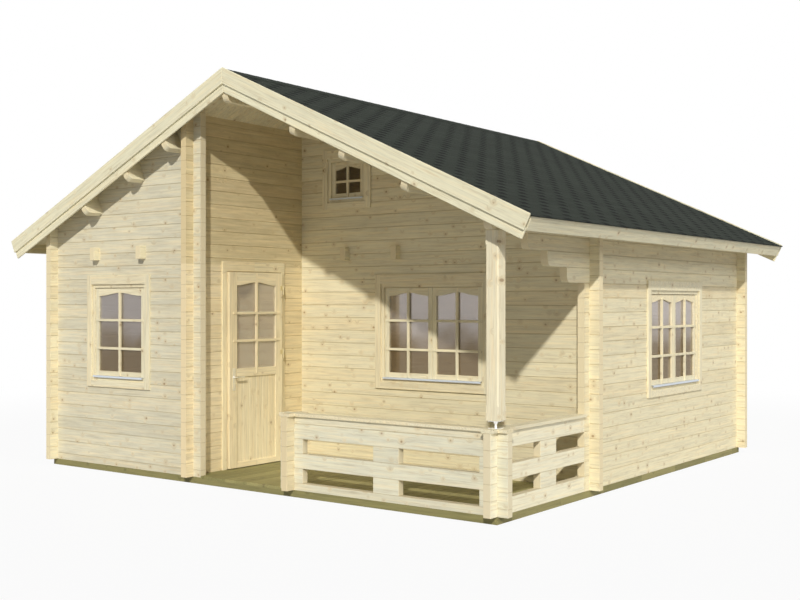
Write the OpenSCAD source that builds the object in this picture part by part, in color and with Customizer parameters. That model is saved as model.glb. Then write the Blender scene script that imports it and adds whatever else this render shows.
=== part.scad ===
// Holiday cabin of interlocking square logs, with a covered corner porch.
// Millimetres. The origin is in the middle of the plan, on the ground.
// +X runs across the gable, +Y to the back and +Z up.

/* [Plan] */
// Width over the log walls, across the gable
width = 5720; // [5600:10:6200]
// Depth over the log walls, front to back
depth = 5450; // [5200:10:6200]
// Width of the corner porch
porch_w = 3500; // [3400:10:3600]
// Depth of the corner porch
porch_d = 1600; // [1560:10:1800]
// Open way onto the porch, between the door wall and the railing
entrance_w = 1260; // [1100:10:1400]

/* [Logs] */
// Thickness of every log
log_t = 70; // [60:1:80]
// Covering height of a log
log_h = 135; // [130:1:145]
// Length of the log ends past a crossing
log_end = 100; // [80:1:120]
// Depth of the V joint between two logs
joint_v = 5; // [3:0.5:8]
// Number of logs in the side walls
wall_logs = 19; // [18:1:20]
// Planing of the top log at its outer face
plate_drop = 12.5; // [5:0.5:25]

/* [Base and floors] */
// Height of the treated bearers under the walls
bearer_h = 65; // [55:1:80]
// Width of those bearers
bearer_w = 70; // [60:1:70]
// Width of the bearers under the floors
joist_w = 45; // [35:1:60]
// Spacing of the bearers under the floors
joist_gap = 560; // [450:10:620]
// Height of the bearers under the porch boards
deck_joist_h = 52; // [45:1:54]
// Thickness of the porch boards
deck_t = 28; // [22:1:34]
// Spacing of the porch boards
deck_board = 145; // [95:1:160]
// Gap between two porch boards
deck_gap = 5; // [3:1:8]
// Thickness of the room floor
floor_t = 28; // [20:1:34]

/* [Roof] */
// Slope of the roof in degrees
pitch = 24.75; // [22:0.25:27]
// Thickness of the roof boards
board_t = 19; // [16:1:22]
// Thickness of the covering at the butt of a course
shingle_t = 8; // [5:0.5:10]
// Thickness of the covering at the head of a course
shingle_thin = 4; // [2:0.5:5]
// Height of a course of the covering
shingle_step = 103; // [90:1:160]
// Length of the covering past the eave board
shingle_drip = 15; // [5:1:30]
// Overhang past the side walls, along the slope
eave_over = 468; // [400:4:520]
// Overhang past the gables
verge_over = 242; // [200:1:300]
// Thickness of the barge boards
barge_t = 20; // [16:1:26]
// Width of the upper barge boards
barge_w = 140; // [120:1:150]
// Width of the lower barge boards
low_barge_w = 97; // [85:1:110]
// Height of the upper barge board over the underside of the roof boards
barge_rise = 37; // [28:1:44]
// Lap of the lower barge board behind the upper one
barge_lap = 25; // [15:1:35]
// Width of the eave boards
fascia_w = 125; // [110:1:140]
// Thickness of the eave boards
fascia_t = 20; // [16:1:26]

/* [Purlins and loft joists] */
// Width of every purlin
purlin_w = 70; // [60:1:80]
// Height of the slope purlins
purlin_h = 255; // [220:1:280]
// Level distance from the door wall's outer face to the highest slope purlin
high_purlin = 285; // [250:5:340]
// Place of the middle slope purlin between the highest and the lowest, as a share
middle_purlin = 0.46; // [0.4:0.01:0.6]
// Level distance from the lowest slope purlin to the outer face of the side walls
low_purlin = 695; // [640:5:760]
// Height of the ridge purlin
ridge_drop = 281; // [250:1:300]
// Length of the rounded lower corner of purlins and corbels
end_cut_l = 50; // [35:1:70]
// Height of that rounded corner
end_cut_h = 72; // [50:1:90]
// Course of logs that the loft joists lie in
loft_course = 16; // [15:1:16]
// Place of the outer loft joist
outer_joist_x = -2110; // [-2200:10:-2000]
// Place of the loft joist beside the porch
side_joist_x = -1380; // [-1450:10:-1300]
// Place of the loft joist under the ridge
ridge_joist_x = 0; // [-60:10:60]
// Place of the loft joist over the porch window
porch_joist_x = 670; // [600:10:740]
// Length of the joist ends outside the walls
loft_end = 75; // [50:1:100]

/* [Porch] */
// Lowest course that steps out under the eave log
corbel_first = 14; // [13:1:14]
// Length of the lowest corbel before the porch's back wall
short_corbel = 435; // [400:5:470]
// Length of the middle corbel
middle_corbel = 780; // [740:5:820]
// Length of the highest corbel
long_corbel = 1115; // [1070:5:1160]
// Height of the railing in logs
rail_logs = 5; // [5:1:5]
// Length of the railing blocks past a crossing
end_block = 100; // [80:1:140]
// Length of the block in the middle of a railing
middle_block = 275; // [200:5:320]
// Thickness of the railing caps
cap_t = 28; // [22:1:34]
// Width of the railing caps
cap_w = 120; // [110:1:140]
// Side of the square porch post
post_w = 120; // [100:1:140]
// Width of the stopped chamfers on the post
post_chamfer = 9; // [6:1:20]
// Distance of each chamfer from the ends of the post
chamfer_stop = 115; // [80:5:200]
// Height of the adjustable foot under the post
foot_gap = 65; // [50:1:85]
// Side of the foot's plates
foot_plate = 90; // [75:1:96]
// Thickness of the foot's plates
foot_plate_t = 6; // [4:1:8]
// Diameter of the foot's rod
foot_rod_d = 20; // [16:1:24]
// Width over the corners of the foot's nut
foot_nut_d = 36; // [30:1:44]
// Height of the foot's nut
foot_nut_h = 18; // [12:1:22]

/* [Windows] */
// Opening in the logs for the single window
single_w = 880; // [820:5:940]
// Opening in the logs for the double windows
double_w = 1300; // [1240:5:1360]
// Opening in the logs for the attic window
attic_w = 545; // [505:5:585]
// Height of the window openings in logs
window_logs = 8; // [7:1:8]
// Height of the attic opening in logs
attic_logs = 4; // [4:1:4]
// Course under the window openings
window_course = 6; // [6:1:6]
// Course under the attic opening
attic_course = 20; // [20:1:20]
// Middle of the front window
front_window_x = -1768; // [-1800:1:-1740]
// Middle of the porch window
porch_window_x = 1098; // [1060:1:1130]
// Middle of the side window
side_window_y = 825; // [700:5:950]
// Thickness of the window frames
jamb_t = 50; // [44:1:56]
// Height of the frame's sill
sill_t = 60; // [54:1:66]
// Room for the logs to settle over each frame
settle_gap = 40; // [30:1:50]
// Thickness of the casings
casing_t = 20; // [16:1:24]
// Width of the casings at the sides and below
casing_w = 70; // [60:1:80]
// Width of the casings at the head
casing_head = 100; // [85:1:110]
// Lap of the casings over the frames
casing_lap = 14; // [8:1:20]
// Thickness of the sashes
sash_t = 42; // [38:1:46]
// Width of the stiles and lower rails of the sashes
sash_w = 50; // [44:1:70]
// Gap round each sash
sash_gap = 3; // [2:0.5:5]
// Distance of the sashes behind the log face
sash_set = 14; // [10:1:18]
// Width of the rebate stop that a sash closes on
stop_w = 14; // [10:1:20]
// Width of the glazing bars
bar_w = 26; // [20:1:36]
// Thickness of the glazing bars
bar_t = 24; // [18:1:28]
// Projection of the glazing bars past the sashes and the leaf
bar_proud = 8; // [4:1:10]
// Distance of the window bars' ends from the edges of a sash
bar_end = 4; // [2:1:12]
// Height of the lower bars, as a share of the light
low_bar = 0.305; // [0.25:0.005:0.4]
// Height of the upper bars, as a share of the light
high_bar = 0.68; // [0.6:0.005:0.75]
// Rise of the curved top rail in the middle
arch_rise = 34; // [20:1:44]
// Width of the top rail at the stiles
arch_rail = 84; // [76:1:95]
// Thickness of the double glazing
glass_t = 6; // [4:1:8]
// Thickness of the metal drips
drip_t = 3; // [2:0.5:4]
// Height of the drip's front lip
drip_h = 18; // [12:1:24]
// Length of the drips before the log face
drip_out = 26; // [22:1:34]

/* [Door] */
// Middle of the door behind the front wall's face
door_y = 841; // [830:1:860]
// Width of the door leaf
leaf_w = 788; // [760:1:800]
// Height of the door leaf
leaf_h = 2002; // [1960:1:2010]
// Thickness of the door leaf
leaf_t = 45; // [40:1:50]
// Gap round the leaf, and over the porch boards
leaf_gap = 8; // [6:1:10]
// Gap between the closed leaf and its frame
leaf_rest = 5; // [4:0.5:6]
// Thickness of the door frame
door_jamb = 45; // [40:1:50]
// Lap of the leaf over the frame at the sides
leaf_lap = 26; // [20:1:32]
// Lap of the leaf over the frame at the head
head_lap = 15; // [10:1:20]
// Height of the threshold over the bearers
threshold_h = 35; // [32:1:42]
// Width of the door casings
door_casing_w = 58; // [50:1:66]
// Width of the leaf's stiles
stile_w = 107; // [95:1:120]
// Height of the leaf's foot rail
foot_rail = 57; // [50:1:90]
// Height of the lock rail's lower edge over the foot of the leaf
lock_rail_z = 928; // [880:1:960]
// Height of the lock rail
lock_rail = 86; // [70:1:110]
// Width of the leaf's top rail at the stiles
leaf_rail = 136; // [110:1:150]
// Length of the door's glazing bars over its stiles
leaf_bar_lap = 58; // [30:1:80]
// Thickness of the lower panel
panel_t = 22; // [16:1:28]
// Width of the boards in the lower panel
panel_board = 96; // [80:1:120]
// Width of the V joints between those boards
panel_v = 6; // [4:1:12]
// Height of the lowest hinge
low_hinge = 330; // [280:10:380]
// Height of the middle hinge
middle_hinge = 1180; // [1100:10:1260]
// Height of the highest hinge
high_hinge = 1860; // [1800:10:1900]
// Radius of the hinge knuckles
hinge_r = 7; // [6:0.5:8]
// Length of a hinge
hinge_l = 96; // [80:1:110]
// Thickness of the hinge flaps
hinge_flap = 3; // [2:0.5:3]
// Width of the hinge flaps
flap_w = 36; // [28:1:40]
// Radius of the hinge pins
pin_r = 3.5; // [3:0.25:4]
// Height of the door handles over the foot of the leaf
handle_up = 929; // [900:1:960]
// Distance of the handles from the leaf's edge
handle_in = 62; // [55:1:70]
// Height of the handle plates
plate_h = 228; // [200:1:240]
// Width of the handle plates
plate_w = 38; // [32:1:44]
// Thickness of the handle plates
plate_t = 3; // [2:0.5:5]
// Distance of the levers from the plates
neck_l = 36; // [30:1:45]
// Length of the levers
lever_l = 120; // [100:1:130]
// Diameter of the levers
lever_d = 18; // [14:1:20]

/* [Hidden] */

pine = "#ead9ae";
planed = "#efe3bd";
treated = "#97935a";
felt = "#2d3632";
glazing = "#8d837d";
zinc = "#c2cbd2";
steel = "#b7b9bb";

$fn = 24;
e = 1;                           // cutters pass a face by this much
fit = 0.3;                       // between faces that meet on a slope
curve_steps = 5;                 // straight pieces in a rounded beam corner
arch_steps = 6;                  // straight pieces in each half of a curved rail
let_in = 15;                     // of a glazing bar into a rail or stile

// ---- places worked out from the sizes ----
xl = -width/2;
xr = width/2;
yf = -depth/2;
yb = depth/2;
xd = xr - porch_w;               // outer face of the door wall
yp = yf + porch_d;               // front face of the porch's back wall
col_x = xd + entrance_w;         // left face of the railing's end column
slope = tan(pitch);
eave_z = bearer_h + wall_logs*log_h - plate_drop;
apex_z = eave_z + slope*width/2;
deck_top = deck_joist_h + deck_t;
rail_top = bearer_h + rail_logs*log_h;
cap_top = rail_top + cap_t;
slope_end = (width/2)/cos(pitch) + eave_over;
verge_y = depth/2 + verge_over;
win_h = window_logs*log_h;
attic_h = attic_logs*log_h;
loft_at = [outer_joist_x, side_joist_x, ridge_joist_x, porch_joist_x];
high_at = high_purlin - xd;       // level distances of the slope purlins from the ridge
low_at = width/2 - low_purlin;
purlin_at = [high_at, high_at + middle_purlin*(low_at - high_at), low_at];
corbels = [short_corbel, middle_corbel, long_corbel];
beam_z = y_joint(corbel_first + len(corbels));
hinge_z = [low_hinge, middle_hinge, high_hinge];
wall_courses = ceil((apex_z - bearer_h)/log_h);

function soffit(x) = apex_z - slope*abs(x);
function y_joint(k) = bearer_h + k*log_h;            // joints of walls that run front to back
function x_joint(k) = bearer_h + (k + 0.5)*log_h;    // joints of walls that run across
function flip(a) = [for (i = [len(a) - 1:-1:0]) a[i]];
// a point on a roof slope: u runs down from the ridge, v square to it, s is -1 left and 1 right
function on_slope(s, u, v) =
    [s*(u*cos(pitch) + v*sin(pitch)), apex_z - u*sin(pitch) + v*cos(pitch)];
function at_ridge(s, v) = on_slope(s, -v*slope, v);

// a profile drawn in y and z, and drawn out along x
module along_x(x0, x1) {
    translate([x0, 0, 0]) rotate([90, 0, 90]) linear_extrude(x1 - x0) children();
}
// a profile drawn in x and z, and drawn out along y
module along_y(y0, y1) {
    translate([0, y1, 0]) rotate([90, 0, 0]) linear_extrude(y1 - y0) children();
}

// ---- log walls ----
function grooves(u, s, joints, low, top) =
    [for (z = joints) if (z - joint_v > low && z + joint_v < top)
        each [[u, z - joint_v], [u + s*joint_v, z], [u, z + joint_v]]];

module log_section(joints, low, top0, top1) {
    polygon(concat([[0, low]], grooves(0, 1, joints, low, top0), [[0, top0], [log_t, top1]],
                   flip(grooves(log_t, -1, joints, low, top1)), [[log_t, low]]));
}

// logs that run front to back, left face at x
module y_logs(x, y0, y1, low, top0, top1) {
    joints = [for (k = [0:wall_courses]) y_joint(k)];
    translate([x, 0, 0]) along_y(y0, y1) log_section(joints, low, top0, top1);
}

// logs that run across, front face at y
module x_logs(y, x0, x1, low, top) {
    joints = [for (k = [-1:wall_courses]) x_joint(k)];
    translate([0, y, 0]) along_x(x0, x1) log_section(joints, low, top, top);
}

// housings at a crossing: each log keeps a neck of half its height, so the two walls interlock
module housing_in_x(x, y, courses) {
    for (k = [0:courses]) translate([x, y - e, y_joint(k) + log_h/4])
        cube([log_t, log_t + 2*e, log_h/2]);
}

module housing_in_y(x, y, courses) {
    for (k = [-1:courses]) translate([x - e, y, x_joint(k) + log_h/4])
        cube([log_t + 2*e, log_t, log_h/2]);
}

module under_roof(y0, y1) {
    along_y(y0, y1) polygon([[-width, 0], [width, 0], [width, soffit(width)],
                             [0, apex_z], [-width, soffit(width)]]);
}

// the front lower corner of a beam or corbel, rounded from its end face to its underside
function end_curve(y, z, dy, dz) =
    [for (i = [0:curve_steps])
        let (a = 90*i/curve_steps) [y + dy - dy*sin(a), z + dz - dz*cos(a)]];

// ---- base and floors ----
module porch_log_room() {
    translate([xd, yf, bearer_h]) cube([log_end, log_t, log_h]);
    translate([col_x - log_end, yf, bearer_h]) cube([log_end + log_t, log_t, log_h]);
    translate([col_x, yf, bearer_h]) cube([log_t, log_t + log_end, log_h]);
}

module perimeter_bearers() {
    inside = [width - 2*bearer_w, depth - 2*bearer_w, bearer_h + 2*e];
    color(treated) difference() {
        translate([xl, yf, 0]) cube([width, depth, bearer_h]);
        difference() {
            translate([xl + bearer_w, yf + bearer_w, -e]) cube(inside);
            translate([xd - bearer_w, yf, -2*e]) cube([bearer_w, porch_d + bearer_w, bearer_h + 4*e]);
            translate([xd - bearer_w, yp, -2*e]) cube([porch_w + bearer_w, bearer_w, bearer_h + 4*e]);
        }
        translate([xd, yf - e, deck_joist_h]) cube([entrance_w, bearer_w + 2*e, bearer_h]);
    }
}

module floor_bearers() {
    color(treated) {
        for (y = [yf + bearer_w + joist_gap:joist_gap:yp - joist_w]) {
            translate([xl + bearer_w, y, 0]) cube([xd - xl - 2*bearer_w, joist_w, bearer_h]);
            translate([xd, y, 0]) cube([porch_w - bearer_w, joist_w, deck_joist_h]);
        }
        for (y = [yp + bearer_w + joist_gap:joist_gap:yb - bearer_w - joist_w])
            translate([xl + bearer_w, y, 0]) cube([width - 2*bearer_w, joist_w, bearer_h]);
    }
}

module porch_deck() {
    color(treated) difference() {
        union() {
            translate([xd, yf + log_t, deck_joist_h]) cube([porch_w - log_t, porch_d - log_t, deck_t]);
            translate([xd, yf, deck_joist_h]) cube([entrance_w, log_t, deck_t]);
        }
        for (x = [xd + deck_board:deck_board:xr - log_t - deck_board/2])
            translate([x, yf - e, deck_top - deck_t/2]) cube([deck_gap, porch_d + 2*e, deck_t]);
        porch_log_room();
    }
}

module room_floor() {
    color(planed) difference() {
        union() {
            translate([xl + log_t, yp + log_t, bearer_h])
                cube([width - 2*log_t, depth - porch_d - 2*log_t, floor_t]);
            translate([xl + log_t, yf + log_t, bearer_h])
                cube([width - porch_w - 2*log_t, porch_d, floor_t]);
        }
        translate([xd - log_t - log_end, yp, 0]) cube([log_end + log_t, log_t, log_h]);
        translate([xd - log_t, yp, 0]) cube([log_t, log_t + log_end, log_h]);
    }
}

// ---- windows: x across, y inwards from the log face, z up from the opening ----
module placed_front() { translate([front_window_x, yf, x_joint(window_course)]) children(); }
module placed_porch() { translate([porch_window_x, yp, x_joint(window_course)]) children(); }
module placed_attic() { translate([0, yp, x_joint(attic_course)]) children(); }
module placed_side() { translate([xr, side_window_y, y_joint(window_course)]) rotate([0, 0, 90]) children(); }

module window_hole(w, h) {
    translate([-w/2, -e, 0]) cube([w, log_t + 2*e, h]);
}

// an upright ring of width w from z0 to z1, open over width iw from iz0 to iz1
module ring(w, z0, z1, iw, iz0, iz1, t) {
    difference() {
        translate([-w/2, 0, z0]) cube([w, t, z1 - z0]);
        translate([-iw/2, -e, iz0]) cube([iw, t + 2*e, iz1 - iz0]);
    }
}

module frame_of(w, h) {
    top = h - settle_gap;
    stop_y = sash_set + sash_t;
    ring(w, 0, top, w - 2*jamb_t, sill_t, top - jamb_t, log_t);
    translate([0, stop_y, 0])
        ring(w - 2*e, e, top - e, w - 2*jamb_t - 2*stop_w, sill_t + stop_w,
             top - jamb_t - stop_w, log_t - stop_y);
}

module casing_of(w, h) {
    over = casing_w - casing_lap;
    head = h - settle_gap - casing_lap;
    for (y = [-casing_t, log_t]) translate([0, y, 0])
        ring(w + 2*over, -over, head + casing_head, w - 2*casing_lap, casing_lap, head, casing_t);
}

// lower edge of a top rail: it rises from both stiles to the middle in two ogee curves
function arch_points(w, z) =
    [for (i = [0:2*arch_steps])
        let (t = (i < arch_steps ? i : 2*arch_steps - i)/arch_steps)
        [-w/2 + w*i/(2*arch_steps), z + arch_rise*(1 - cos(180*t))/2]];

// the light of a sash or leaf: w wide, from z0 up to the curved rail at z1
module light(w, z0, z1) {
    polygon(concat([[-w/2, z0]], arch_points(w, z1), [[w/2, z0]]));
}

// one upright glazing bar and a level one at each share of the light's height,
// running past the light by over, and at the head by let_in
module bars(w, z0, z1, shares, over) {
    translate([-bar_w/2, z0 - over]) square([bar_w, z1 - z0 + arch_rise + over + let_in]);
    for (s = shares)
        translate([-w/2 - over, z0 + s*(z1 - z0) - bar_w/2]) square([w + 2*over, bar_w]);
}

// the bars stand before the sash, and run across its stiles and lower rail
module sash_of(w, h, shares) {
    iw = w - 2*sash_w;
    translate([0, sash_set, 0]) {
        along_y(0, sash_t) difference() {
            translate([-w/2, 0]) square([w, h]);
            light(iw, sash_w, h - arch_rail);
        }
        along_y(-bar_proud, bar_t - bar_proud) bars(iw, sash_w, h - arch_rail, shares, sash_w - bar_end);
    }
}

module pane_of(w, h) {
    y = sash_set + bar_t - bar_proud;
    along_y(y, y + glass_t) light(w - 2*sash_w, sash_w, h - arch_rail);
}

// children(0) is drawn once for each sash, in the middle of its foot
module at_sashes(w, h, leaves) {
    clear_w = w - 2*jamb_t;
    leaf = (clear_w - (leaves + 1)*sash_gap)/leaves;
    for (i = [0:leaves - 1])
        translate([-clear_w/2 + sash_gap + leaf/2 + i*(leaf + sash_gap), 0, sill_t + sash_gap]) children();
}
function sash_width(w, leaves) = (w - 2*jamb_t - (leaves + 1)*sash_gap)/leaves;
function sash_height(h) = h - settle_gap - jamb_t - sill_t - 2*sash_gap;

module sashes_in(w, h, leaves, shares) {
    at_sashes(w, h, leaves) sash_of(sash_width(w, leaves), sash_height(h), shares);
}
module panes_in(w, h, leaves) {
    at_sashes(w, h, leaves) pane_of(sash_width(w, leaves), sash_height(h));
}

module drip_of(w) {
    clear_w = w - 2*jamb_t;
    translate([-clear_w/2, -drip_out, sill_t]) cube([clear_w, drip_out + sash_set, drip_t]);
    translate([-clear_w/2, -drip_out, sill_t + drip_t - drip_h]) cube([clear_w, drip_t, drip_h]);
}

module window_frames() {
    color(planed) {
        placed_front() frame_of(single_w, win_h);
        placed_porch() frame_of(double_w, win_h);
        placed_side() frame_of(double_w, win_h);
        placed_attic() frame_of(attic_w, attic_h);
    }
}

module window_casings() {
    color(planed) {
        placed_front() casing_of(single_w, win_h);
        placed_porch() casing_of(double_w, win_h);
        placed_side() casing_of(double_w, win_h);
        placed_attic() casing_of(attic_w, attic_h);
    }
}

module window_sashes() {
    color(planed) {
        placed_front() sashes_in(single_w, win_h, 1, [low_bar, high_bar]);
        placed_porch() sashes_in(double_w, win_h, 2, [low_bar, high_bar]);
        placed_side() sashes_in(double_w, win_h, 2, [low_bar, high_bar]);
        placed_attic() sashes_in(attic_w, attic_h, 1, [1/2]);
    }
}

module window_glass() {
    color(glazing) {
        placed_front() panes_in(single_w, win_h, 1);
        placed_porch() panes_in(double_w, win_h, 2);
        placed_side() panes_in(double_w, win_h, 2);
        placed_attic() panes_in(attic_w, attic_h, 1);
    }
}

module window_drips() {
    color(zinc) {
        placed_front() drip_of(single_w);
        placed_porch() drip_of(double_w);
        placed_side() drip_of(double_w);
        placed_attic() drip_of(attic_w);
    }
}

// ---- walls ----
module joist_holes() {
    for (x = loft_at) translate([x - log_t/2, yf - loft_end - e, y_joint(loft_course)])
        cube([log_t, depth + 2*loft_end + 2*e, log_h]);
}

module front_wall() {
    color(pine) difference() {
        intersection() {
            x_logs(yf, xl - log_end, xd + log_end, bearer_h, apex_z);
            under_roof(yf - e, yf + log_t + e);
        }
        housing_in_x(xl, yf, wall_courses);
        housing_in_x(xd - log_t, yf, wall_courses);
        placed_front() window_hole(single_w, win_h);
        purlins();
        joist_holes();
    }
}

module back_wall() {
    color(pine) difference() {
        intersection() {
            x_logs(yb - log_t, xl - log_end, xr + log_end, bearer_h, apex_z);
            under_roof(yb - log_t - e, yb + e);
        }
        housing_in_x(xl, yb - log_t, wall_courses);
        housing_in_x(xr - log_t, yb - log_t, wall_courses);
        purlins();
        joist_holes();
    }
}

module porch_back_wall() {
    color(pine) difference() {
        intersection() {
            x_logs(yp, xd - log_t - log_end, xr + log_end, bearer_h, apex_z);
            under_roof(yp - e, yp + log_t + e);
        }
        housing_in_x(xd - log_t, yp, wall_courses);
        housing_in_x(xr - log_t, yp, wall_courses);
        placed_porch() window_hole(double_w, win_h);
        placed_attic() window_hole(attic_w, attic_h);
        purlins();
        joist_holes();
    }
}

module left_wall() {
    color(pine) difference() {
        y_logs(xl, yf - log_end, yb + log_end, bearer_h, soffit(xl), soffit(xl + log_t));
        housing_in_y(xl, yf, wall_logs);
        housing_in_y(xl, yb - log_t, wall_logs);
    }
}

// the whole right-hand wall over a stretch of its length, before it is cut to its outline
module right_logs() {
    difference() {
        y_logs(xr - log_t, yf - log_end, yb + log_end, bearer_h, soffit(xr - log_t), soffit(xr));
        housing_in_y(xr - log_t, yp, wall_logs);
        housing_in_y(xr - log_t, yb - log_t, wall_logs);
        placed_side() window_hole(double_w, win_h);
    }
}

module right_wall() {
    y0 = yp - log_end;
    color(pine) intersection() {
        right_logs();
        translate([xr - log_t - e, y0, 0])
            cube([log_t + 2*e, yb + log_end - y0, y_joint(corbel_first)]);
    }
}

// side view of the top logs: stepped corbels carry the eave log over the porch
function eave_outline() =
    let (n = len(corbels), foot = y_joint(corbel_first))
    concat([[yb + log_end, foot]],
           [for (i = [0:n - 1]) each concat(
               end_curve(yp - corbels[i], y_joint(corbel_first + i), end_cut_l, end_cut_h),
               [[yp - corbels[i], y_joint(corbel_first + i + 1)]])],
           end_curve(yf - log_end, beam_z, end_cut_l, end_cut_h),
           [[yf - log_end, apex_z], [yb + log_end, apex_z]]);

module right_eave_logs() {
    color(pine) intersection() {
        right_logs();
        along_x(xr - log_t - e, xr + e) polygon(eave_outline());
    }
}

module door_wall() {
    difference() {
        y_logs(xd - log_t, yf - log_end, yp + log_t + log_end, bearer_h,
               soffit(xd - log_t), soffit(xd));
        housing_in_y(xd - log_t, yf, wall_courses);
        housing_in_y(xd - log_t, yp, wall_courses);
    }
}

door_mid = yf + door_y;
leaf_out = leaf_t + leaf_rest;                   // outer face of the leaf before the log face
leaf_bottom = deck_top + leaf_gap;
leaf_top = leaf_bottom + leaf_h;
panel_bottom = leaf_bottom + foot_rail;
panel_top = leaf_bottom + lock_rail_z;
light_bottom = panel_top + lock_rail;
light_top = leaf_top - leaf_rail;
door_open_w = leaf_w - 2*leaf_lap + 2*door_jamb; // opening in the logs
door_frame_top = leaf_top - head_lap + door_jamb;
door_open_top = door_frame_top + settle_gap;

// the part of the door wall from y0 to y1 and z0 to z1
module door_wall_part(y0, y1, z0, z1) {
    color(pine) intersection() {
        door_wall();
        translate([xd - log_t - e, y0, z0]) cube([log_t + 2*e, y1 - y0, z1 - z0]);
    }
}
module door_wall_front() {
    door_wall_part(yf - log_end, door_mid - door_open_w/2, 0, door_open_top);
}
module door_wall_back() {
    door_wall_part(door_mid + door_open_w/2, yp + log_t + log_end, 0, door_open_top);
}
module door_wall_over() {
    door_wall_part(yf - log_end, yp + log_t + log_end, door_open_top, apex_z);
}

// ---- roof frame ----
purlin_y = verge_y - 2*barge_t;

// a beam along y with both lower corners rounded, from z to z + h
module shaped_beam(w, z, h) {
    along_x(-w/2, w/2)
        polygon(concat(end_curve(-purlin_y, z, end_cut_l, end_cut_h), [[-purlin_y, z + h], [purlin_y, z + h]],
                       flip(end_curve(purlin_y, z, -end_cut_l, end_cut_h))));
}

module purlins() {
    color(pine) {
        for (s = [-1, 1], d = purlin_at)
            translate([s*d, 0, soffit(d)]) rotate([0, s*pitch, 0]) shaped_beam(purlin_w, -purlin_h, purlin_h);
        intersection() {
            shaped_beam(purlin_w, apex_z - ridge_drop, ridge_drop);
            under_roof(-purlin_y - e, purlin_y + e);
        }
    }
}

module loft_joists() {
    color(pine) for (x = loft_at) {
        y0 = (x < xd ? yf : yp) - loft_end;
        translate([x - log_t/2, y0, y_joint(loft_course)]) cube([log_t, yb + loft_end - y0, log_h]);
    }
}

// ---- roof ----
// a flat strip of one slope, from v0 to v1, down to u1
module slope_strip(s, v0, v1, u1, y0, y1) {
    along_y(y0, y1) polygon([at_ridge(s, v0), on_slope(s, u1, v0), on_slope(s, u1, v1), at_ridge(s, v1)]);
}

roof_y = verge_y - barge_t;
boards_end = slope_end - fascia_t - fit;
module left_roof_boards() { color(planed) slope_strip(-1, fit, board_t, boards_end, -roof_y, roof_y); }
module right_roof_boards() { color(planed) slope_strip(1, fit, board_t, boards_end, -roof_y, roof_y); }

// the covering, with a step down at the butt of each course
module shingles(s) {
    foot = slope_end + shingle_drip;
    n = floor(foot/shingle_step);
    butt = board_t + shingle_t;
    head = board_t + shingle_thin;
    color(felt) along_y(-roof_y, roof_y)
        polygon(concat([at_ridge(s, board_t + fit), on_slope(s, foot, board_t + fit)],
            [for (i = [0:n - 1]) each [on_slope(s, foot - i*shingle_step, butt),
                                       on_slope(s, foot - (i + 1)*shingle_step, head)]],
            [on_slope(s, foot - n*shingle_step, butt), at_ridge(s, butt)]));
}
module left_shingles() { shingles(-1); }
module right_shingles() { shingles(1); }

upper_v = barge_rise - barge_w;
lower_v = upper_v + barge_lap - low_barge_w;

// a pair of boards on one slope, w wide, at the front and back verges, set in by back
module barges(s, v0, w, back) {
    color(planed) for (f = [0, 1]) mirror([0, f, 0])
        slope_strip(s, v0, v0 + w, slope_end, -verge_y + back, -verge_y + back + barge_t);
}
module left_upper_barges() { barges(-1, upper_v, barge_w, 0); }
module right_upper_barges() { barges(1, upper_v, barge_w, 0); }
module left_lower_barges() { barges(-1, lower_v, low_barge_w, barge_t); }
module right_lower_barges() { barges(1, lower_v, low_barge_w, barge_t); }

module eave_fascias() {
    foot = board_t - fascia_w;
    color(planed) for (s = [-1, 1]) along_y(-purlin_y, purlin_y)
        polygon([on_slope(s, slope_end - fascia_t, foot), on_slope(s, slope_end, foot),
                 on_slope(s, slope_end, board_t), on_slope(s, slope_end - fascia_t, board_t)]);
}

// ---- door: x across from the middle, y inwards from the log face, z true ----
module at_door() { translate([xd, door_mid, 0]) rotate([0, 0, 90]) children(); }

module door_frame() {
    clear_w = door_open_w - 2*door_jamb;
    foot = bearer_h + threshold_h;
    color(planed) at_door()
        ring(door_open_w, bearer_h, door_frame_top, clear_w, foot, door_frame_top - door_jamb, log_t);
}

// one side of the casing: it stands clear of the leaf, and has no foot
module door_casing_on(y, foot) {
    clear_w = leaf_w + 2*leaf_gap;
    head = leaf_top + leaf_gap;
    translate([0, y, 0])
        ring(clear_w + 2*door_casing_w, foot, head + casing_head, clear_w, foot - e, head, casing_t);
}
module door_casing() {
    color(planed) at_door() {
        door_casing_on(-casing_t, deck_top);
        door_casing_on(log_t, bearer_h + floor_t);
    }
}

module door_leaf() {
    iw = leaf_w - 2*stile_w;
    bar_y = -bar_proud - leaf_out;
    panel_y = (leaf_t - panel_t)/2 - leaf_out;
    color(planed) at_door() {
        along_y(-leaf_out, leaf_t - leaf_out) difference() {
            translate([-leaf_w/2, leaf_bottom]) square([leaf_w, leaf_h]);
            translate([-iw/2, panel_bottom]) square([iw, panel_top - panel_bottom]);
            light(iw, light_bottom, light_top);
        }
        along_y(bar_y, bar_y + bar_t) bars(iw, light_bottom, light_top, [1/3, 2/3], leaf_bar_lap);
        difference() {
            translate([-iw/2, panel_y, panel_bottom]) cube([iw, panel_t, panel_top - panel_bottom]);
            for (x = [-2*panel_board:panel_board:2*panel_board], y = [panel_y, panel_y + panel_t])
                translate([x, y, panel_bottom - e]) rotate([0, 0, 45])
                    cube([panel_v/sqrt(2), panel_v/sqrt(2), 2*leaf_h], center = true);
        }
    }
}

module door_glass() {
    y = bar_t - bar_proud - leaf_out;
    color(glazing) at_door() along_y(y, y + glass_t) light(leaf_w - 2*stile_w, light_bottom, light_top);
}

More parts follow.
